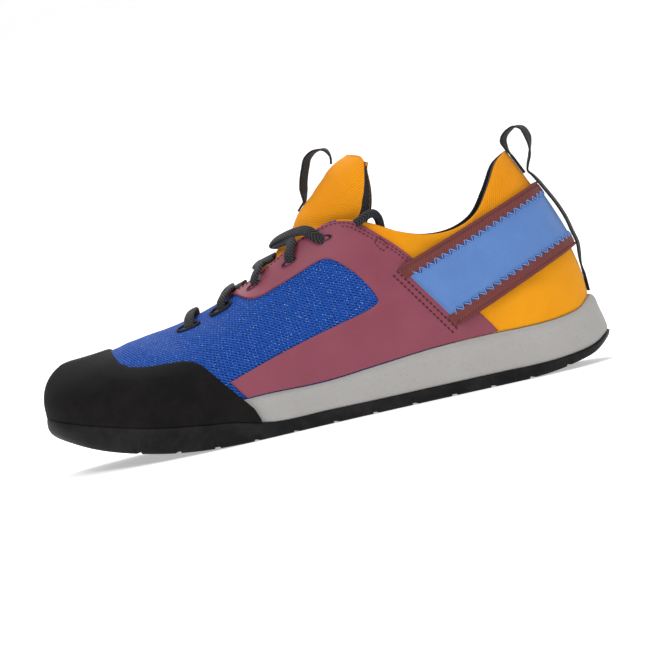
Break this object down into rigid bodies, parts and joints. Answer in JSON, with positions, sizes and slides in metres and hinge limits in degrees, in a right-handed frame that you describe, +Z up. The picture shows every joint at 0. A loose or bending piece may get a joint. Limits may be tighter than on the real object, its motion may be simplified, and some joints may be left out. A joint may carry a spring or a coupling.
{
  "type": "approach shoe",
  "caption": "Low approach shoe for the left foot: knit upper, side overlays, rubber toe cap, elastic heel strap, pull loops and laces.",
  "frame": {"origin": "centre of the shoe's bounding box seen from above, on the ground", "axes": "toe towards -X, outer side of the foot towards -Y, +Z up"},
  "size_m": [0.29, 0.1057, 0.1351],
  "materials": {
    "rubber": "matte",
    "foam": "matte speckled",
    "insole_cloth": "matte",
    "knit": "matte knit",
    "cap_rubber": "matte",
    "film": "satin",
    "webbing": "matte",
    "elastic": "satin",
    "binding": "matte",
    "lace": "matte braid"
  },
  "bodies": {
    "root": {"outsole": "rubber", "midsole": "foam", "insole": "insole_cloth", "upper": "knit", "toe_cap": "cap_rubber", "overlay_outer": "film", "overlay_inner": "film", "eyelet_ring_outer_1": "webbing", "eyelet_ring_outer_2": "webbing", "eyelet_ring_inner_1": "webbing", "eyelet_ring_inner_2": "webbing", "heel_strap": "elastic", "strap_binding_lower": "binding", "strap_binding_upper": "binding", "heel_tape": "webbing", "tongue": "knit", "tongue_loop": "webbing", "lace_bar": "lace", "lace_crossing_1": "lace", "lace_crossing_2": "lace", "lace_crossing_3": "lace", "lace_end": "lace"}
  },
  "joints": []
}
